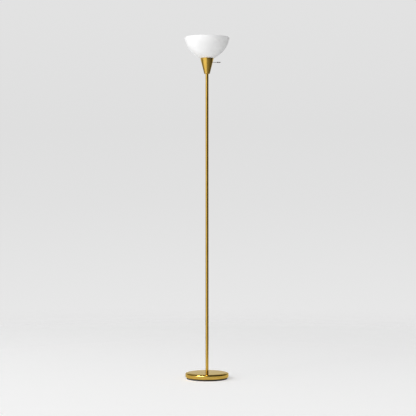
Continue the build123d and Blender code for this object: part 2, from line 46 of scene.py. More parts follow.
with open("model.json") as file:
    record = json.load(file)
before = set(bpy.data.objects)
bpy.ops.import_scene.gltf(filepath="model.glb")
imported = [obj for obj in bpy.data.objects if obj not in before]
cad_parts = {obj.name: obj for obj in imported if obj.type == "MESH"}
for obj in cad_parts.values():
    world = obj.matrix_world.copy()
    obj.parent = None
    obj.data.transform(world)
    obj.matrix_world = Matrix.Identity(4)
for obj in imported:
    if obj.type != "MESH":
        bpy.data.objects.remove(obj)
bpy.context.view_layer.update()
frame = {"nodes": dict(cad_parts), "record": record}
mm = 0.001
# the bulb's and the screw shell's thread: seven turns to the inch
screw_cap_pitch = 3.63 * mm


# ================================================================ MODELLING HELPERS
def only(piece):
    """Selects this one object and makes it active."""
    bpy.ops.object.select_all(action="DESELECT")
    piece.select_set(True)
    bpy.context.view_layer.objects.active = piece


def edit(piece, kind="VERT"):
    """Opens a piece in edit mode with everything selected."""
    only(piece)
    bpy.ops.object.mode_set(mode="EDIT")
    bpy.ops.mesh.select_mode(type=kind)
    bpy.ops.mesh.select_all(action="SELECT")


def done():
    """Goes back to object mode."""
    bpy.ops.object.mode_set(mode="OBJECT")


def select_where(piece, test, kind="VERT"):
    """In edit mode, selects each vertex or edge for which test(its middle) is true."""
    bpy.ops.mesh.select_mode(type=kind)
    bpy.ops.mesh.select_all(action="DESELECT")
    mesh = bmesh.from_edit_mesh(piece.data)
    for item in {"VERT": mesh.verts, "EDGE": mesh.edges}[kind]:
        corners = [item] if kind == "VERT" else item.verts
        middle = sum((corner.co for corner in corners), Vector()) / len(corners)
        item.select_set(test(middle))
    mesh.select_flush_mode()
    bmesh.update_edit_mesh(piece.data)


def cut_through(point, normal, **ends):
    """In edit mode, cuts the whole mesh through a plane. ends says which side goes."""
    bpy.ops.mesh.select_all(action="SELECT")
    bpy.ops.mesh.bisect(plane_co=point, plane_no=normal, threshold=1e-7, **ends)


def begin(name):
    """Names the primitive that was just added, and puts its place in its mesh."""
    piece = bpy.context.object
    piece.name = name
    piece.data.name = name
    only(piece)
    bpy.ops.object.transform_apply(location=True, rotation=True, scale=True)
    return piece


def apply(piece, kind, **settings):
    """Adds a modifier with these settings and applies it."""
    modifier = piece.modifiers.new(kind.lower(), kind)
    for name, value in settings.items():
        setattr(modifier, name, value)
    only(piece)
    bpy.ops.object.modifier_apply(modifier=modifier.name)


def join(*parts):
    """Joins pieces into the first one."""
    only(parts[0])
    for part in parts[1:]:
        part.select_set(True)
    bpy.ops.object.join()
    return parts[0]


def combine(piece, tool, operation):
    """UNION or DIFFERENCE of a piece with a tool, which is used up."""
    apply(piece, "BOOLEAN", operation=operation, object=tool, solver="EXACT")
    bpy.data.objects.remove(tool)
    return piece


def traced(name, outline, rounds=None):
    """An outline of (radius, height) points in the XZ plane, extruded point by point from one
    vertex. rounds gives a corner's number and how far from the corner its arc starts, which at
    a square corner is the arc's radius."""
    bpy.ops.object.select_all(action="DESELECT")
    bpy.ops.mesh.primitive_plane_add(size=mm)
    piece = begin(name)
    edit(piece)
    bpy.ops.mesh.merge(type="CENTER")
    bpy.ops.transform.translate(value=(outline[0][0], 0, outline[0][1]))
    for (before_r, before_z), (r, z) in zip(outline, outline[1:]):
        step = (r - before_r, 0, z - before_z)
        bpy.ops.mesh.extrude_region_move(TRANSFORM_OT_translate={"value": step})
    fewest, most, arc_step = 3, 10, 0.45 * mm
    for number, reach in (rounds or {}).items():
        corner = Vector((outline[number][0], 0, outline[number][1]))
        select_where(piece, lambda place: (place - corner).length < 0.001 * mm)
        segments = min(max(fewest, round(reach / arc_step)), most)
        bpy.ops.mesh.bevel(
            offset=reach, segments=segments, affect="VERTICES", clamp_overlap=False
        )
    done()
    return piece


def spun(piece, steps, inward=False):
    """Turns an outline in the XZ plane round +Z into a surface that faces outwards. An open
    bowl comes out facing its own hollow, so it asks for inward, which turns it round."""
    edit(piece)
    bpy.ops.mesh.spin(steps=steps, angle=tau, center=(0, 0, 0), axis=(0, 0, 1))
    bpy.ops.mesh.select_all(action="SELECT")
    bpy.ops.mesh.remove_doubles(threshold=0.001 * mm)
    bpy.ops.mesh.normals_make_consistent(inside=inward)
    done()
    return piece


def turned(name, outline, rounds=None, steps=64, inward=False):
    """A piece made on a lathe from a traced outline."""
    return spun(traced(name, outline, rounds), steps, inward)


def turned_solid(name, outline, rounds=None, steps=64):
    """As turned, from an outline that comes back to its first point."""
    return turned(name, [*outline, outline[0]], rounds, steps)


def rod(name, radius, low, high, steps=48, inset=0.0):
    """A solid cylinder round +Z from low to high, with both ends chamfered by inset."""
    if not inset:
        return turned(name, [(0, low), (radius, low), (radius, high), (0, high)], steps=steps)
    outline = [(0, low), (radius - inset, low), (radius, low + inset)]
    outline += [(radius, high - inset), (radius - inset, high), (0, high)]
    return turned(name, outline, steps=steps)


def laid_along(piece, direction, place):
    """Turns a piece made round +Z to point along +X, +Y or +Z, and moves its origin to place."""
    angle, axis = {"X": (pi / 2, "Y"), "Y": (-pi / 2, "X"), "Z": (0, "Z")}[direction]
    only(piece)
    piece.rotation_euler["XYZ".index(axis)] = angle
    piece.location = place
    bpy.ops.object.transform_apply(location=True, rotation=True, scale=True)
    return piece


def thread(name, root, crest, pitch, low, high, steps=48, filled=True):
    """A helical thread: one pitch of its outline is screwed up the axis past both ends, which
    are then cut off square."""
    # shares of one pitch: where the rise starts, where it reaches the crest, where it leaves it
    rise_from, crest_from, crest_to = 0.12, 0.44, 0.62
    turns = int((high - low) / pitch) + 3
    start = low - 1.5 * pitch
    outline = [(root, start), (root, start + rise_from * pitch)]
    outline += [(crest, start + crest_from * pitch), (crest, start + crest_to * pitch)]
    outline += [(root, start + pitch)]
    piece = traced(name, outline)
    apply(
        piece,
        "SCREW",
        angle=tau,
        screw_offset=pitch,
        iterations=turns,
        steps=steps,
        render_steps=steps,
        use_merge_vertices=True,
        merge_threshold=0.002 * mm,
    )
    edit(piece)
    bpy.ops.mesh.remove_doubles(threshold=0.004 * mm)
    for height, ends in ((low, {"clear_inner": True}), (high, {"clear_outer": True})):
        cut_through((0, 0, height), (0, 0, 1), use_fill=filled, **ends)
    bpy.ops.mesh.select_all(action="SELECT")
    bpy.ops.mesh.normals_make_consistent(inside=False)
    done()
    return piece


def copy_of(node):
    """A copy of a CAD node with its triangles merged, so that it shades smoothly."""
    piece = frame["nodes"][node].copy()
    piece.data = piece.data.copy()
    piece.name = node + "_smooth"
    piece.data.name = piece.name
    piece.parent = None
    for key in list(piece.keys()):
        del piece[key]
    bpy.context.scene.collection.objects.link(piece)
    edit(piece)
    bpy.ops.mesh.remove_doubles(threshold=0.001 * mm)
    done()
    return piece


def top_of(node):
    """Height of a CAD node's top."""
    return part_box(node)[1].z


record = frame["record"]
bodies = record["behaviour"]["bodies"]
body_of_node = {node: body for body, nodes in bodies.items() for node in nodes}


def finished(piece, node, material, crease=32):
    """Gives a piece its material and smooth shading, and puts it in a CAD node's place."""
    piece.data.materials.clear()
    piece.data.materials.append(material)
    only(piece)
    bpy.ops.object.shade_smooth_by_angle(angle=radians(crease))
    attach(piece, body_of_node[node])
    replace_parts(piece, node)


# ================================================================ MATERIAL HELPERS
def linear(colour):
    """An sRGB colour such as "c79f52" as the linear values that shaders use."""
    parts = [int(colour[i : i + 2], 16) / 255 for i in (0, 2, 4)]
    return (*[c / 12.92 if c <= 0.04045 else ((c + 0.055) / 1.055) ** 2.4 for c in parts], 1.0)


def add_node(tree, kind, inputs=None, **settings):
    """Adds a shader node. settings are its own properties, and inputs its sockets, each with a
    value or with the output socket that feeds it."""
    made = tree.nodes.new("ShaderNode" + kind)
    for name, value in settings.items():
        setattr(made, name, value)
    for name, value in (inputs or {}).items():
        if isinstance(value, bpy.types.NodeSocket):
            tree.links.new(value, made.inputs[name])
        else:
            made.inputs[name].default_value = value
    return made


def new_material(name, **constants):
    """A material with one Principled shader, its fixed values set. Returns it with its tree,
    its shader and the object coordinates that its patterns read."""
    material = bpy.data.materials.new(name)
    material.use_nodes = True
    tree = material.node_tree
    shader = tree.nodes["Principled BSDF"]
    for socket, value in constants.items():
        shader.inputs[socket.replace("_", " ")].default_value = value
    place = add_node(tree, "TexCoord").outputs["Object"]
    return material, tree, shader, place


def feed(tree, shader, **links):
    """Links pattern outputs to the shader's sockets."""
    for socket, source in links.items():
        tree.links.new(source, shader.inputs[socket.replace("_", " ")])


def noise(tree, place, size, detail, **more):
    """Cloudy patches of about this size, as a 0 to 1 pattern."""
    inputs = {"Vector": place, "Scale": 1 / size, "Detail": detail, **more}
    return add_node(tree, "TexNoise", inputs).outputs["Fac"]


def cells(tree, place, size, output="Distance"):
    """Cells of about this size: the distance from each one's middle, or its own Color."""
    return add_node(tree, "TexVoronoi", {"Vector": place, "Scale": 1 / size}).outputs[output]


def scaled(tree, place, scale):
    """The place multiplied by a scale for each axis."""
    return add_node(tree, "Mapping", {"Vector": place, "Scale": scale}).outputs["Vector"]


def reckoned(tree, operation, first, second):
    """Two numbers put together: ADD, MULTIPLY or MAXIMUM."""
    return add_node(tree, "Math", {0: first, 1: second}, operation=operation).outputs["Value"]


def length_of(tree, vector):
    return add_node(tree, "VectorMath", {0: vector}, operation="LENGTH").outputs["Value"]


def unit_of(tree, vector):
    return add_node(tree, "VectorMath", {0: vector}, operation="NORMALIZE").outputs["Vector"]


def facing(tree, vector, toward):
    """How far a vector points toward a fixed direction."""
    inputs = {0: vector, 1: toward}
    return add_node(tree, "VectorMath", inputs, operation="DOT_PRODUCT").outputs["Value"]


def ranged(tree, value, start, end, low=0.0, high=1.0, curve="LINEAR"):
    """Takes a value that runs from start to end to one from low to high, level beyond them."""
    inputs = {"Value": value, "From Min": start, "From Max": end, "To Min": low, "To Max": high}
    return add_node(tree, "MapRange", inputs, interpolation_type=curve).outputs["Result"]


def spread(tree, pattern, low, high):
    """A 0 to 1 pattern as a value from low to high."""
    return ranged(tree, pattern, 0.0, 1.0, low, high)


def colours_from(tree, factor, *stops):
    """A colour ramp from (position, sRGB colour) stops."""
    ramp = add_node(tree, "ValToRGB", {"Fac": factor})
    elements = ramp.color_ramp.elements
    while len(elements) < len(stops):
        elements.new(0.5)
    for element, (position, colour) in zip(elements, stops):
        element.position = position
        element.color = linear(colour)
    return ramp.outputs["Color"]


def darkened(tree, colour, by, share):
    """A colour multiplied by another one, mixed in by this share."""
    inputs = {"Factor": share, "A": colour, "B": by}
    mixed = add_node(tree, "Mix", inputs, data_type="RGBA", blend_type="MULTIPLY")
    return mixed.outputs["Result"]


def bumps(tree, height, strength, depth):
    """The normals of a skin that stands up by this depth where the pattern is high."""
    inputs = {"Height": height, "Strength": strength, "Distance": depth}
    return add_node(tree, "Bump", inputs).outputs["Normal"]


# ================================================================ MATERIALS
def brass_plate(name, brushing):
    """Satin brass plating on steel. The eye gets a greenish yellow metal whose reflections are
    drawn out along fine brush lines, with a slightly deeper tint in patches and soft handling
    marks in the gloss."""
    material, tree, shader, place = new_material(
        name, Metallic=1.0, Specular_Tint=linear("f8f0cc"), Anisotropic=0.2
    )
    # The brush lines are 0.2 mm apart on the real lamp, drawn 1.2 mm apart so that they show.
    across = 1 / (1.2 * mm)
    if brushing == "along":
        brushed = scaled(tree, place, (across, across, across / 90))
    else:
        # lines that run round the piece: they change with the radius and height alone
        split = add_node(tree, "SeparateXYZ", {"Vector": place}).outputs
        flat = add_node(tree, "CombineXYZ", {"X": split["X"], "Y": split["Y"]}).outputs["Vector"]
        turned_place = {"X": length_of(tree, flat), "Y": split["Z"]}
        rings = add_node(tree, "CombineXYZ", turned_place).outputs["Vector"]
        brushed = scaled(tree, rings, (across, across, across))
    lines = noise(tree, brushed, 1.0, 3.0, Roughness=0.65)
    marks = noise(tree, place, 40 * mm, 4.0)
    waves = noise(tree, place, 12 * mm, 2.0, Distortion=0.6)
    tint = colours_from(tree, marks, (0.30, "c7a24c"), (0.52, "cba750"), (0.75, "cfac58"))
    streak = colours_from(tree, lines, (0.25, "ece8e2"), (0.60, "ffffff"))
    colour = darkened(tree, tint, streak, 0.35)
    rough_lines = spread(tree, lines, -0.03, 0.03)
    rough_waves = spread(tree, waves, 0.15, 0.21)
    rough = reckoned(tree, "ADD", rough_lines, rough_waves)
    normal = bumps(tree, lines, 0.10, 0.03 * mm)
    feed(tree, shader, Base_Color=colour, Roughness=rough, Normal=normal)
    return material


def opal_plastic(name):
    """Moulded opal acrylic with a soft satin skin. The eye gets a milky white that light soaks
    into a little, with faint flow clouds and a broad gentle highlight."""
    material, tree, shader, place = new_material(
        name,
        Subsurface_Weight=0.12,
        Subsurface_Radius=(1.0, 1.0, 0.98),
        Subsurface_Scale=3 * mm,
        IOR=1.49,
        Coat_Weight=0.08,
        Coat_Roughness=0.15,
    )
    clouds = noise(tree, place, 60 * mm, 3.0)
    grain = noise(tree, place, 1.5 * mm, 2.0)
    colour = colours_from(tree, clouds, (0.3, "f7f7f7"), (0.7, "fcfcfc"))
    rough = spread(tree, clouds, 0.36, 0.46)
    normal = bumps(tree, grain, 0.06, 0.05 * mm)
    feed(tree, shader, Base_Color=colour, Roughness=rough, Normal=normal)
    return material


def foam(name):
    """Closed-cell EVA foam. The eye gets a dead matt black with a fine cell texture."""
    material, tree, shader, place = new_material(
        name, IOR=1.5, Sheen_Weight=0.1, Sheen_Roughness=0.6
    )
    # cells are 0.3 mm across, drawn 1 mm across so that they show
    bubbles = cells(tree, place, 1.0 * mm)
    wear = noise(tree, place, 25 * mm, 4.0)
    colour = colours_from(tree, wear, (0.3, "1d1c1b"), (0.7, "2a2826"))
    rough = spread(tree, bubbles, 0.82, 0.96)
    normal = bumps(tree, bubbles, 0.5, 0.15 * mm)
    feed(tree, shader, Base_Color=colour, Roughness=rough, Normal=normal)
    return material


def moulded(name, dark, light, gloss, grain_mm, bump_mm, patch_mm=8.0, ior=1.5):
    """A moulded plastic or phenolic, told apart by its colours, grain and gloss, which is the
    lowest and highest roughness. The eye gets a slightly cloudy colour, a skin of fine grain
    and gloss that varies with the flow."""
    material, tree, shader, place = new_material(name, IOR=ior)
    patches = noise(tree, place, patch_mm * mm, 4.0, Distortion=0.8)
    grain = cells(tree, place, grain_mm * mm)
    colour = colours_from(tree, patches, (0.32, dark), (0.68, light))
    rough = spread(tree, patches, *gloss)
    normal = bumps(tree, grain, 0.3, bump_mm * mm)
    feed(tree, shader, Base_Color=colour, Roughness=rough, Normal=normal)
    return material


def plain_metal(name, dark, light, gloss, streak=(1, 1, 1), grain_mm=0.6, bump_mm=0.01):
    """A bare or thinly plated metal part, told apart by its colours, gloss and the direction of
    its tool marks. streak squeezes the grain along each axis, so a small number draws it out."""
    material, tree, shader, place = new_material(name, Metallic=1.0)
    drawn = scaled(tree, place, [share / (grain_mm * mm) for share in streak])
    marks = noise(tree, drawn, 1.0, 4.0, Roughness=0.6)
    stain = noise(tree, place, 7 * mm, 3.0)
    colour = colours_from(tree, stain, (0.3, dark), (0.7, light))
    rough = spread(tree, marks, *gloss)
    normal = bumps(tree, marks, 0.25, bump_mm * mm)
    feed(tree, shader, Base_Color=colour, Roughness=rough, Normal=normal)
    return material


def galvanised(name):
    """Hot-dip galvanised sheet. The eye gets spangle: flat crystals 6 to 10 mm across, each
    with its own grey and gloss."""
    material, tree, shader, place = new_material(name, Metallic=0.85)
    spangle = cells(tree, place, 8 * mm, "Color")
    frost = noise(tree, place, 1.2 * mm, 4.0)
    grey = add_node(tree, "SeparateColor", {"Color": spangle}).outputs["Red"]
    colour = colours_from(tree, grey, (0.0, "9da1a4"), (0.5, "b4b8ba"), (1.0, "c9cccd"))
    rough = spread(tree, grey, 0.38, 0.58)
    normal = bumps(tree, frost, 0.2, 0.03 * mm)
    feed(tree, shader, Base_Color=colour, Roughness=rough, Normal=normal)
    return material


def concrete(name):
    """Cast cement. The eye gets warm grey with sand grains, dark pores and trowel patches."""
    material, tree, shader, place = new_material(name, IOR=1.5)
    sand = noise(tree, place, 1.5 * mm, 6.0, Roughness=0.7)
    pores = cells(tree, place, 5 * mm)
    patches = noise(tree, place, 35 * mm, 3.0)
    base = colours_from(tree, patches, (0.3, "8a8780"), (0.7, "a5a29a"))
    specks = colours_from(tree, sand, (0.3, "b9b5ad"), (0.65, "ffffff"))
    colour = darkened(tree, base, specks, 0.7)
    rough = spread(tree, sand, 0.80, 0.95)
    height = reckoned(tree, "ADD", ranged(tree, pores, 0.05, 0.25), sand)
    normal = bumps(tree, height, 0.6, 0.4 * mm)
    feed(tree, shader, Base_Color=colour, Roughness=rough, Normal=normal)
    return material


brass_pole = brass_plate("satin_brass_plate_drawn_tube", "along")
brass_spun = brass_plate("satin_brass_plate_spun", "round")
opal = opal_plastic("opal_acrylic_shade")
eva = foam("closed_cell_eva_foam")
# name, darkest and lightest colour, lowest and highest roughness, grain and bump in mm
phenolic_black = moulded("black_phenolic", "100e0d", "1d1a18", (0.22, 0.38), 1.1, 0.02)
phenolic_brown = moulded(
    "brown_phenolic_key", "3a2817", "543a22", (0.28, 0.42), 1.2, 0.03, patch_mm=4.0
)
nylon_black = moulded("black_nylon_bushing", "0d0d0d", "191919", (0.40, 0.55), 0.8, 0.03)
nylon_white = moulded("white_nylon_rotor", "dfded8", "ecebe6", (0.38, 0.50), 0.8, 0.02)
pvc_lead = moulded(
    "black_pvc_insulation", "131313", "202020", (0.45, 0.60), 0.6, 0.02, patch_mm=20.0
)
bulb_white = moulded("bulb_housing_polycarbonate", "eeeeeb", "f6f6f3", (0.35, 0.48), 0.7, 0.02)
bulb_frost = moulded(
    "bulb_dome_frosted_polycarbonate", "f4f4f1", "fbfbf9", (0.42, 0.52), 0.9, 0.02, patch_mm=25.0
)
glass_black = moulded(
    "bulb_black_vitrite_glass", "0b080d", "17121b", (0.08, 0.16), 2.0, 0.01, ior=1.52
)
board_green = moulded(
    "circuit_board_green_solder_mask", "14482a", "1d5c36", (0.28, 0.40), 0.8, 0.02
)
board_white = moulded("led_board_white_solder_mask", "dedfdc", "ecece9", (0.30, 0.42), 0.8, 0.02)
# name, darkest and lightest colour, lowest and highest roughness
zinc = plain_metal("bright_zinc_plated_steel", "a9adb0", "c3c4bd", (0.24, 0.40))
nickel_rod = plain_metal(
    "nickel_plated_turned_stem", "9a9894", "b5b3ad", (0.18, 0.32), streak=(1, 0.2, 0.2)
)
nickel_cap = plain_metal(
    "nickel_plated_bulb_cap", "aaa7a0", "c4c1ba", (0.16, 0.28), streak=(0.3, 0.3, 1)
)
brass_strip = plain_metal(
    "bright_brass_strip", "b99344", "d3ae5c", (0.20, 0.34), streak=(0.2, 1, 1)
)
alloy = plain_metal("die_cast_zinc_alloy", "94969a", "aeb0b2", (0.35, 0.52), bump_mm=0.03)
solder = plain_metal(
    "solder_button", "9fa0a2", "bcbdbd", (0.22, 0.38), grain_mm=1.5, bump_mm=0.05
)
zinc_sheet = galvanised("galvanised_sheet")
cement = concrete("cast_cement")


# ================================================================ BASE
def make_base_cover():
    """Drawn steel cover: flat top, sloping shoulder and a lip curled in under the plate."""
    low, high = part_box("base_cover")
    rim = high.x
    hole, lip, wall = 5.3 * mm, rim - 9.5 * mm, 1 * mm
    slope_run, slope_drop = 11 * mm, 4 * mm
    # where the arcs start: their radii are 45, 5 and 4 mm, and only the last is square
    top_bend, shoulder, foot = 7.9 * mm, 3.5 * mm, 4 * mm
    outline = [(hole, high.z), (rim - slope_run, high.z), (rim, high.z - slope_drop)]
    outline += [(rim, low.z), (lip, low.z)]
    rounds = {1: top_bend, 2: shoulder, 3: foot}
    cover = turned("base_cover_drawn", outline, rounds, steps=144)
    apply(cover, "SOLIDIFY", thickness=wall, offset=-1, use_even_offset=True)
    bushing_low, bushing_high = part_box("cord_bushing")
    middle = (bushing_low + bushing_high) / 2
    bushing_hole, reach = 5.5 * mm, 20 * mm
    drill = laid_along(rod("drill", bushing_hole, -reach, reach), "Y", (0, rim, middle.z))
    combine(cover, drill, "DIFFERENCE")
    finished(cover, "base_cover", brass_spun)


def make_foot_pad():
    """Foam ring that the lamp stands on, its outer edges worn round."""
    low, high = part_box("foot_pad")
    outer, inner, edge = high.x, 42 * mm, 0.8 * mm
    outline = [(inner, low.z), (outer, low.z), (outer, high.z), (inner, high.z)]
    pad = turned_solid("foot_pad_foam", outline, {1: edge, 2: edge / 2}, steps=96)
    finished(pad, "foot_pad", eva)


def make_base_plate():
    """Bottom plate with a pressed stiffening bead round its centre hole."""
    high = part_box("base_plate")[1]
    outer, inner, sheet = high.x, 22 * mm, 1 * mm
    bead_in, bead_out, bead_depth, bead_side = 28 * mm, 36 * mm, 0.8 * mm, 1.5 * mm
    level = high.z
    outline = [(inner, level), (bead_in, level), (bead_in + bead_side, level - bead_depth)]
    outline += [(bead_out - bead_side, level - bead_depth), (bead_out, level), (outer, level)]
    bend = 0.8 * mm
    rounds = {1: bend, 2: bend, 3: bend, 4: bend}
    plate = turned("base_plate_pressed", outline, rounds, steps=96)
    apply(plate, "SOLIDIFY", thickness=sheet, offset=-1, use_even_offset=True)
    finished(plate, "base_plate", zinc_sheet)


def make_cord_bushing():
    """Snap-in bushing: outside flange, and a barrel slit into fingers that spring behind the
    wall."""
    low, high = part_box("cord_bushing")
    middle = (low + high) / 2
    length = high.y - low.y
    bore, mouth = 3.2 * mm, 4.8 * mm
    flange, barrel, snap = 6.0 * mm, 5.4 * mm, 6.0 * mm
    flange_at = length - 1.8 * mm
    snap_from, snap_to = flange_at - 3.5 * mm, flange_at - 1.5 * mm
    outline = [(bore, 0), (mouth, 0), (barrel, snap_from), (snap, snap_to)]
    outline += [(barrel, snap_to), (barrel, flange_at), (flange, flange_at)]
    outline += [(flange, length), (bore, length)]
    rounds = {7: 0.7 * mm, 8: 0.8 * mm}
    bushing = turned_solid("cord_bushing_moulded", outline, rounds, steps=48)
    slit_size, slit_middle = (16 * mm, 0.9 * mm, 7 * mm), 3.4 * mm
    for angle in (0, pi / 2):
        bpy.ops.mesh.primitive_cube_add(size=1)
        slit = bpy.context.object
        slit.scale = slit_size
        slit.location = (0, 0, slit_middle)
        slit.rotation_euler[2] = angle
        combine(bushing, begin("slit"), "DIFFERENCE")
    laid_along(bushing, "Y", (0, low.y, middle.z))
    finished(bushing, "cord_bushing", nylon_black)


# ================================================================ POLE
def make_pole():
    """Four drawn tubes with broken edges, which leave a fine seam where they meet."""
    wall, edge = 0.8 * mm, 0.35 * mm
    for node in ("pole_bottom", "pole_lower_middle", "pole_upper_middle", "pole_top"):
        low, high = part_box(node)
        outer = high.x
        bore = outer - wall
        outline = [(bore, low.z), (outer - edge, low.z), (outer, low.z + edge)]
        outline += [(outer, high.z - edge), (outer - edge, high.z), (bore, high.z)]
        tube = turned_solid(node + "_tube", outline, steps=48)
        finished(tube, node, brass_pole)


def make_pipes():
    """Threaded lamp pipes, M10 with a pitch of 1 mm, drilled through for the leads."""
    pitch, thread_depth, bore_radius = 1 * mm, 0.55 * mm, 3.5 * mm
    couplings = [f"coupling_nipple_{number}" for number in (1, 2, 3)]
    for node in ("base_nipple", *couplings, "head_nipple"):
        low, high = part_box(node)
        crest = high.x
        root = crest - thread_depth
        pipe = thread(node + "_threaded", root, crest, pitch, low.z, high.z, steps=24)
        bore = rod("bore", bore_radius, low.z - mm, high.z + mm, steps=24)
        combine(pipe, bore, "DIFFERENCE")
        finished(pipe, node, zinc)


# ================================================================ CUP
def make_cup():
    """Spun conical cup with a small rounded foot and a hole for the switch stem."""
    low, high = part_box("cup")
    foot, hole, rim = 14.5 * mm, 5.3 * mm, 35.5 * mm
    wall, foot_rounding = 1 * mm, 1.5 * mm
    rim_band, rim_rounding = 0.5 * mm, 0.3 * mm
    outline = [(hole, low.z), (foot, low.z), (rim, high.z)]
    cup = turned("cup_spun", outline, {1: foot_rounding}, steps=128, inward=True)
    apply(cup, "SOLIDIFY", thickness=wall, offset=-1, use_even_offset=True)
    edit(cup, "EDGE")
    select_where(cup, lambda place: place.z > high.z - rim_band, "EDGE")
    bpy.ops.mesh.bevel(offset=rim_rounding, segments=3, affect="EDGES")
    done()
    stem_low, stem_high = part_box("switch_stem")
    axis_z = (stem_low.z + stem_high.z) / 2
    stem_hole, reach, wall_at = 4.5 * mm, 8 * mm, 27 * mm
    drill = rod("drill", stem_hole, -reach, reach, steps=32)
    combine(cup, laid_along(drill, "X", (wall_at, 0, axis_z)), "DIFFERENCE")
    finished(cup, "cup", brass_spun)


# ================================================================ SWITCH
def make_switch_stem():
    """Turned stem with a fine groove where the key's hub ends."""
    low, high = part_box("switch_stem")
    axis_z = (low.z + high.z) / 2
    length = high.x - low.x
    radius = (high.z - low.z) / 2
    groove_at, groove = 24.5 * mm, 0.35 * mm
    waist = radius - groove
    outline = [(0, 0), (waist, 0), (radius, groove), (radius, groove_at)]
    outline += [(waist, groove_at + groove), (waist, groove_at + 3 * groove)]
    outline += [(radius, groove_at + 4 * groove), (radius, length - groove)]
    outline += [(waist, length), (0, length)]
    stem = turned("switch_stem_turned", outline, steps=32)
    finished(laid_along(stem, "X", (low.x, 0, axis_z)), "switch_stem", nickel_rod)


def make_turn_key():
    """Moulded key: a plain hub that spreads into a flat paddle with grip grooves on both
    faces."""
    low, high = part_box("turn_key")
    axis_z = (low.z + high.z) / 2
    half, tip, neck, edge = 2.0 * mm, 5 * mm, 2.6 / 5, 0.9 * mm
    neck_x, tip_x = low.x + 5 * mm, high.x - tip
    bpy.ops.mesh.primitive_cylinder_add(
        vertices=40, radius=tip, depth=2 * half, location=(tip_x, 0, axis_z)
    )
    key = begin("turn_key_moulded")
    edit(key)
    # the half that faces the hub is drawn out into the tapering neck
    select_where(key, lambda place: place.x < tip_x - 0.1 * mm)
    bpy.ops.transform.resize(value=(neck, neck, 1), center_override=(tip_x, 0, axis_z))
    bpy.ops.transform.translate(value=(neck_x - tip_x, 0, 0))
    select_where(key, lambda place: abs(abs(place.z - axis_z) - half) < 0.001 * mm, "EDGE")
    bpy.ops.mesh.bevel(offset=edge, segments=4, affect="EDGES")
    done()
    hub_radius, hub_length, hub_edge = 2.9 * mm, 5 * mm, 0.4 * mm
    hub = rod("hub", hub_radius, 0, hub_length, steps=32, inset=hub_edge)
    combine(key, laid_along(hub, "X", (low.x, 0, axis_z)), "UNION")
    # five grooves on each face, of which the first lies 3.4 mm beyond the neck
    groove, groove_reach, groove_lift = 0.55 * mm, 8 * mm, 0.15 * mm
    first_mm, spacing_mm = 3.4, 2.1
    grooves = []
    for number in range(5):
        for side in (-1, 1):
            groove_x = neck_x + (first_mm + spacing_mm * number) * mm
            groove_z = axis_z + side * (half + groove_lift)
            cutter = rod("groove", groove, 0, 2 * groove_reach, steps=16)
            grooves.append(laid_along(cutter, "Y", (groove_x, -groove_reach, groove_z)))
    combine(key, join(*grooves), "DIFFERENCE")
    bore_radius, bore_depth = 1.55 * mm, 10 * mm
    bore = rod("bore", bore_radius, -mm, bore_depth, steps=32)
    combine(key, laid_along(bore, "X", (low.x, 0, axis_z)), "DIFFERENCE")
    finished(key, "turn_key", phenolic_brown)


# ================================================================ SHADE
def make_shade():
    """Open bowl: one arc from the cup to the rim, an even wall, and a rounded lip."""
    low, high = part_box("shade")
    arc, wall = 142 * mm, 3 * mm
    foot, hole, rim = 35.5 * mm, 20.1 * mm, 119 * mm
    lip_band, lip_rounding = 0.6 * mm, 1.3 * mm
    # the centre of an arc of this radius through the bowl's foot and its rim
    rise, run = high.z - low.z, rim - foot
    chord = sqrt(rise**2 + run**2)
    reach = sqrt(arc**2 - (chord / 2) ** 2)
    centre_r = (foot + rim) / 2 - reach * rise / chord
    centre_z = (low.z + high.z) / 2 + reach * run / chord
    bpy.ops.object.select_all(action="DESELECT")
    bpy.ops.mesh.primitive_circle_add(
        vertices=288, radius=arc, location=(centre_r, 0, centre_z), rotation=(pi / 2, 0, 0)
    )
    bowl = begin("shade_bowl")
    edit(bowl)
    for height, ends in ((low.z, {"clear_inner": True}), (high.z, {"clear_outer": True})):
        cut_through((0, 0, height), (0, 0, 1), **ends)
    cut_through((0, 0, 0), (1, 0, 0), clear_inner=True)
    # the flat seat on the cup's rim
    select_where(bowl, lambda place: place.z < low.z + 0.001 * mm)
    bpy.ops.mesh.extrude_region_move(TRANSFORM_OT_translate={"value": (hole - foot, 0, 0)})
    done()
    spun(bowl, 160, inward=True)
    apply(bowl, "SOLIDIFY", thickness=wall, offset=-1, use_even_offset=True)
    edit(bowl, "EDGE")
    select_where(bowl, lambda place: place.z > high.z - lip_band, "EDGE")
    bpy.ops.mesh.bevel(offset=lip_rounding, segments=5, affect="EDGES", clamp_overlap=True)
    done()
    finished(bowl, "shade", opal, crease=50)


def make_shade_ring():
    """Ring nut with finger notches round its flange, threaded onto the socket."""
    low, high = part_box("shade_ring")
    outer, hub, bore = 30 * mm, 24 * mm, 19.6 * mm
    flange_top = low.z + 2.5 * mm
    outline = [(bore, low.z), (outer, low.z), (outer, flange_top), (hub, flange_top)]
    outline += [(hub, high.z), (bore, high.z)]
    rounds = {2: 0.5 * mm, 3: 0.6 * mm, 4: 1 * mm}
    ring = turned_solid("shade_ring_moulded", outline, rounds, steps=96)
    notch, notch_circle, count = 1.6 * mm, 30.6 * mm, 18
    notches = []
    for number in range(count):
        angle = tau * number / count
        cutter = rod("notch", notch, low.z - mm, flange_top + mm, steps=16)
        place = (notch_circle * cos(angle), notch_circle * sin(angle), 0)
        notches.append(laid_along(cutter, "Z", place))
    combine(ring, join(*notches), "DIFFERENCE")
    finished(ring, "shade_ring", phenolic_black)


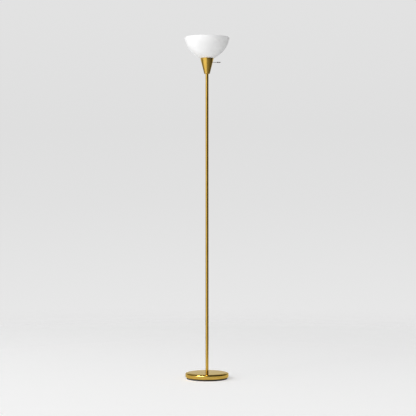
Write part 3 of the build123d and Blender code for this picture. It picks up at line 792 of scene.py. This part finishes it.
# ================================================================ SOCKET
def make_socket_body():
    """Moulded upper half of the socket: floor, shade flange and a sleeve with a coarse thread."""
    low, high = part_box("socket_body")
    sleeve, root, bore, floor = 19.5 * mm, 18.6 * mm, 14.4 * mm, 3 * mm
    flange, flange_low, flange_edge = 26 * mm, low.z + 2.4 * mm, 0.5 * mm
    flange_top = top_of("cup")
    pitch, sunk = 3 * mm, 0.1 * mm
    thread_low = flange_top + 4 * mm
    shoulder = thread_low + 0.5 * mm
    outline = [(0, low.z), (sleeve, low.z), (sleeve, flange_low), (flange, flange_low)]
    outline += [(flange, flange_top), (sleeve, flange_top), (sleeve, thread_low)]
    outline += [(root, shoulder), (bore, shoulder), (bore, low.z + floor), (0, low.z + floor)]
    rounds = {3: flange_edge, 4: flange_edge}
    body = turned("socket_body_moulded", outline, rounds, steps=72)
    top = thread("sleeve", root, sleeve, pitch, thread_low + sunk, high.z, steps=72)
    combine(top, rod("bore", bore, low.z, high.z + mm, steps=72), "DIFFERENCE")
    join(body, top)
    finished(body, "socket_body", phenolic_black)


def make_screw_shell():
    """Thin brass shell with a rolled thread, standing on a flat ring of the same sheet."""
    low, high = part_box("screw_shell")
    sheet, crest, root = 0.4 * mm, 13.5 * mm, 13.85 * mm
    shell = thread(
        "screw_shell_rolled", crest, root, screw_cap_pitch, low.z + mm, high.z, filled=False
    )
    apply(shell, "SOLIDIFY", thickness=sheet, offset=1, use_even_offset=True)
    hole, wall, wall_top = 9 * mm, crest + sheet, low.z + 1.2 * mm
    floor = [(hole, low.z), (wall, low.z), (wall, wall_top)]
    floor += [(crest, wall_top), (crest, low.z + sheet), (hole, low.z + sheet)]
    join(shell, turned_solid("floor", floor, steps=48))
    finished(shell, "screw_shell", brass_strip)


# ================================================================ BULB
def make_bulb_cap():
    """Nickel-plated screw cap: rolled thread, plain skirt and a ring of staking dents."""
    low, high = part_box("bulb_cap")
    sheet, waist, crest, skirt = 0.5 * mm, 12.3 * mm, 13.1 * mm, 13 * mm
    from_z, to_z = low.z + 2.4 * mm, high.z - 4.6 * mm
    inside = waist - sheet
    cap = thread("bulb_cap_rolled", waist, crest, screw_cap_pitch, from_z, to_z, filled=False)
    apply(cap, "SOLIDIFY", thickness=sheet, offset=-1, use_even_offset=True)
    hole, nose_radius, nose_bend = 9 * mm, 9.5 * mm, 0.7 * mm
    nose = [(hole, low.z), (nose_radius, low.z), (waist, from_z), (waist, from_z + mm)]
    nose += [(inside, from_z + mm), (inside, from_z), (hole, low.z + sheet)]
    collar = [(inside, to_z - mm), (waist, to_z - mm), (skirt, to_z + 1.2 * mm)]
    collar += [(skirt, high.z), (skirt - sheet, high.z), (skirt - sheet, to_z + 1.4 * mm)]
    staked = turned_solid("collar", collar, {2: 1 * mm, 3: 0.3 * mm}, steps=48)
    dent_radius, dent_circle, dent_z, count = 0.9 * mm, 13.6 * mm, high.z - 1.8 * mm, 8
    dents = []
    for number in range(count):
        angle = tau * (number + 0.5) / count
        bpy.ops.mesh.primitive_uv_sphere_add(segments=16, ring_count=8, radius=dent_radius)
        place = (dent_circle * cos(angle), dent_circle * sin(angle), dent_z)
        dents.append(laid_along(begin("dent"), "Z", place))
    combine(staked, join(*dents), "DIFFERENCE")
    join(cap, turned_solid("nose", nose, {2: nose_bend}, steps=48), staked)
    finished(cap, "bulb_cap", nickel_cap)


def make_bulb_ends():
    """Black glass insulator and the soldered contact button under the cap."""
    low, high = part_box("bulb_insulator")
    tip, skirt, cone = 5.2 * mm, 9.4 * mm, 3.4 * mm
    outline = [(0, low.z), (tip, low.z), (skirt, low.z + cone), (skirt, high.z), (0, high.z)]
    insulator = turned("bulb_insulator_glass", outline, {1: 0.8 * mm, 2: 1 * mm})
    finished(insulator, "bulb_insulator", glass_black)
    low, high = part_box("bulb_contact")
    radius = high.x
    outline = [(0, low.z), (radius, low.z), (radius, high.z), (0, high.z)]
    contact = turned("bulb_contact_soldered", outline, {1: 1.2 * mm})
    finished(contact, "bulb_contact", solder)


def make_bulb_housing():
    """Flared housing between cap and dome, with a fine parting groove below its rim."""
    low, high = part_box("bulb_housing")
    cap_top = top_of("bulb_cap")
    rim = high.x
    tail, lip, throat = 12.3 * mm, 13.8 * mm, 15.0 * mm
    flare_low, flare_high = cap_top + 4 * mm, high.z - 3 * mm
    outside = [(tail, cap_top + 0.2 * mm), (lip, cap_top + 0.2 * mm), (throat, flare_low)]
    steps, curve = 10, 1.25
    for number in range(1, steps + 1):
        share = number / steps
        # the flare leans out at first, and comes to the upright at the rim
        lean = throat + (rim - 0.15 * mm - throat) * (1 - (1 - share) ** curve)
        outside.append((lean, flare_low + (flare_high - flare_low) * share))
    groove = rim - 0.3 * mm
    outside += [(groove, high.z - 2.6 * mm), (groove, high.z - 2.1 * mm), (rim, high.z - 1.8 * mm)]
    # the seat for the dome's neck and the LED board, then the hollow for the driver board
    seat, seat_z, bore = 28.0 * mm, high.z - 4 * mm, 10.5 * mm
    outside += [(rim, high.z), (seat, high.z), (seat, seat_z)]
    inside = [(25.8 * mm, seat_z), (25.0 * mm, high.z - 8 * mm), (20.6 * mm, high.z - 20.5 * mm)]
    inside += [(13.4 * mm, cap_top + 5 * mm), (bore, cap_top), (bore, low.z)]
    inside += [(11.7 * mm, low.z), (tail, low.z + mm)]
    housing = turned_solid("bulb_housing_moulded", outside + inside, steps=96)
    finished(housing, "bulb_housing", bulb_white)


def make_bulb_dome():
    """Frosted dome: a ball that narrows to a short neck inside the housing's rim."""
    low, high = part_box("bulb_dome")
    ball, wall, neck = 30 * mm, 1.3 * mm, 27.9 * mm
    centre_z = high.z - ball
    bpy.ops.object.select_all(action="DESELECT")
    bpy.ops.mesh.primitive_circle_add(
        vertices=96, radius=ball, location=(0, 0, centre_z), rotation=(pi / 2, 0, 0)
    )
    dome = begin("bulb_dome_frosted")
    edge_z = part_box("bulb_housing")[1].z
    edit(dome)
    cut_through((0, 0, edge_z), (0, 0, 1), clear_inner=True)
    cut_through((0, 0, 0), (1, 0, 0), clear_inner=True)
    select_where(dome, lambda place: place.z < edge_z + 0.001 * mm)
    edge_r = sqrt(ball**2 - (centre_z - edge_z) ** 2)
    bpy.ops.mesh.extrude_region_move(TRANSFORM_OT_translate={"value": (neck - edge_r, 0, 0)})
    bpy.ops.mesh.extrude_region_move(TRANSFORM_OT_translate={"value": (0, 0, low.z - edge_z)})
    done()
    spun(dome, 96)
    apply(dome, "SOLIDIFY", thickness=wall, offset=-1, use_even_offset=False)
    finished(dome, "bulb_dome", bulb_frost, crease=50)


# ================================================================ EVERYTHING ELSE
def make_small_parts():
    """Nodes whose shape is already right: copies with merged triangles and their own finish."""
    finishes = {
        "base_weight": cement,
        "socket_hub": alloy,
        "socket_cap": phenolic_black,
        "switch_bush": phenolic_black,
        "switch_rotor": nylon_white,
        "centre_contact": brass_strip,
        "terminal_plates": brass_strip,
        "terminal_screws": brass_strip,
        "switch_blade": brass_strip,
        "bulb_led_board": board_white,
        "bulb_driver_board": board_green,
        "lamp_leads": pvc_lead,
    }
    stood_for = {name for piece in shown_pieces() for name in piece.get("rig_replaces", [])}
    for node in sorted(set(frame["nodes"]) - stood_for):
        finished(copy_of(node), node, finishes.get(node, zinc))


make_base_cover()
make_foot_pad()
make_base_plate()
make_cord_bushing()
make_pole()
make_pipes()
make_cup()
make_switch_stem()
make_turn_key()
make_shade()
make_shade_ring()
make_socket_body()
make_screw_shell()
make_bulb_cap()
make_bulb_ends()
make_bulb_housing()
make_bulb_dome()
make_small_parts()


# ================================================================ CAMERA, FLOOR AND LIGHT
def make_camera():
    """Level camera at half the lamp's height, far enough away that both ends look alike."""
    distance, eye_height, sideways = 6.45, 0.9025, 0.0052
    lens_data = bpy.data.cameras.new("camera")
    lens_data.sensor_width = 36.0
    lens_data.lens = 105.5
    camera = bpy.data.objects.new("camera", lens_data)
    camera.location = (sideways, -distance, eye_height)
    camera.rotation_euler = (pi / 2, 0, 0)
    bpy.context.scene.collection.objects.link(camera)
    bpy.context.scene.camera = camera


backdrop_strength = 0.76


def studio_light(tree, direction, dimness=1.0):
    """How bright the studio is in each direction: brightest at the front left and dim at the
    right, with the pale backdrop behind the lamp. dimness scales the dim part."""
    dimmest, half_lit = 0.15, 0.42
    level = unit_of(tree, scaled(tree, direction, (1, 1, 0)))
    toward_key = facing(tree, level, Vector((-0.69, -0.72, 0)))
    dim_part = reckoned(
        tree, "MULTIPLY", ranged(tree, toward_key, -0.8, 0.6, dimmest, half_lit), dimness
    )
    lobe = ranged(tree, toward_key, 0.6, 0.98, curve="SMOOTHSTEP")
    front = reckoned(tree, "ADD", dim_part, lobe)
    depth = add_node(tree, "SeparateXYZ", {"Vector": unit_of(tree, direction)}).outputs["Y"]
    behind = ranged(tree, depth, 0.80, 0.96, high=backdrop_strength)
    return reckoned(tree, "MAXIMUM", front, behind)


def make_floor():
    """Plain pale floor that fades into the backdrop with distance from the lamp. It glows a
    little, which brings it up to the backdrop. In mirrored rays, away from the base, it is as
    bright as the studio is on that side."""
    radius, whiteness, glow = 14, 0.75, 0.40
    studio_from, studio_to = 0.3, 1.5
    fade_from, fade_to = 0.6, 5.0
    bpy.ops.object.select_all(action="DESELECT")
    bpy.ops.mesh.primitive_circle_add(vertices=96, radius=radius, fill_type="NGON")
    floor = begin("floor")
    material, tree, shader, place = new_material(
        "pale_floor", Roughness=0.9, Specular_IOR_Level=0.2, Emission_Color=linear("ffffff")
    )
    material.cycles.emission_sampling = "NONE"
    away = length_of(tree, place)
    mirrored = add_node(tree, "LightPath").outputs["Is Glossy Ray"]
    far = ranged(tree, away, studio_from, studio_to)
    inputs = {"Factor": reckoned(tree, "MULTIPLY", far, mirrored), "A": 1.0}
    inputs["B"] = studio_light(tree, place)
    seen = add_node(tree, "Mix", inputs, data_type="FLOAT").outputs["Result"]
    feed(
        tree,
        shader,
        Base_Color=spread(tree, seen, 0.0, whiteness),
        Emission_Strength=reckoned(tree, "MULTIPLY", glow, seen),
    )
    fade = ranged(tree, away, fade_from, fade_to, curve="SMOOTHERSTEP")
    clear = add_node(tree, "BsdfTransparent").outputs["BSDF"]
    mixed = add_node(tree, "MixShader", {0: fade, 1: shader.outputs["BSDF"], 2: clear})
    output = tree.nodes["Material Output"]
    tree.links.new(mixed.outputs["Shader"], output.inputs["Surface"])
    floor.data.materials.append(material)


def make_world():
    """Plain pale backdrop for the camera, and the studio for everything else."""
    world = bpy.data.worlds.new("studio")
    world.use_nodes = True
    bpy.context.scene.world = world
    tree = world.node_tree
    tree.nodes.clear()
    direction = add_node(tree, "TexCoord").outputs["Generated"]
    height = add_node(tree, "SeparateXYZ", {"Vector": direction}).outputs["Z"]
    rise = ranged(tree, height, -0.08, 0.16)
    pale = colours_from(
        tree, rise, (0.0, "e7e7e7"), (0.35, "e1e1e1"), (0.6, "dfdfdf"), (1.0, "e2e2e2")
    )
    # the dim side is darkest from eye level up, where no floor lights it
    dimness = ranged(tree, height, -0.14, 0.0, 1.0, 0.15)
    # just above eye level the backdrop reaches round the left side, where the pole mirrors it
    starts = ranged(tree, height, -0.06, 0.0)
    ends = ranged(tree, height, 0.2, 0.35, backdrop_strength, 0.0)
    band = reckoned(tree, "MULTIPLY", starts, ends)
    back_left = facing(tree, direction, Vector((-0.5, 0.87, 0)))
    sides = ranged(tree, back_left, -0.25, 0.2)
    round_back = reckoned(tree, "MULTIPLY", band, sides)
    lit = studio_light(tree, direction, dimness)
    strength = reckoned(tree, "MAXIMUM", lit, round_back)
    studio = add_node(tree, "Background", {"Color": linear("ffffff"), "Strength": strength})
    backdrop = add_node(tree, "Background", {"Color": pale, "Strength": 1.0})
    inputs = {0: add_node(tree, "LightPath").outputs["Is Camera Ray"]}
    inputs[1] = studio.outputs["Background"]
    inputs[2] = backdrop.outputs["Background"]
    mixed = add_node(tree, "MixShader", inputs)
    output = add_node(tree, "OutputWorld")
    tree.links.new(mixed.outputs["Shader"], output.inputs["Surface"])


def softbox(name, place, target, size, power, mirrored=True, lights=True):
    """A rectangular soft light at place, aimed at target. One that isn't mirrored doesn't show
    in the brass, and one that doesn't light shows only in reflections."""
    data = bpy.data.lights.new(name, "AREA")
    data.shape = "RECTANGLE"
    data.size, data.size_y = size
    data.energy = power
    light = bpy.data.objects.new(name, data)
    light.location = place
    light.rotation_euler = (Vector(target) - Vector(place)).to_track_quat("-Z", "Y").to_euler()
    light.visible_glossy = mirrored
    light.visible_diffuse = lights
    bpy.context.scene.collection.objects.link(light)


make_camera()
make_floor()
make_world()
# name, place, target, width and height in metres, watts
softbox("key_left", (-4.4, -4.1, 5.0), (0, 0, 1.0), (1.2, 1.5), 110)
softbox("shine_left", (-4.1, -4.6, 4.6), (0, 0, 0.0), (4.2, 1.8), 1100, lights=False)
softbox("fill_front", (0.5, -6.0, 3.5), (0, 0, 1.2), (3.0, 2.0), 32, mirrored=False)
softbox("fill_right", (5.5, -2.0, 3.5), (0, 0, 1.2), (3.0, 2.0), 75, mirrored=False)
softbox("fill_left", (-5.5, 1.5, 3.5), (0, 0, 1.2), (3.0, 2.0), 70, mirrored=False)
bpy.context.scene.view_settings.view_transform = "Standard"
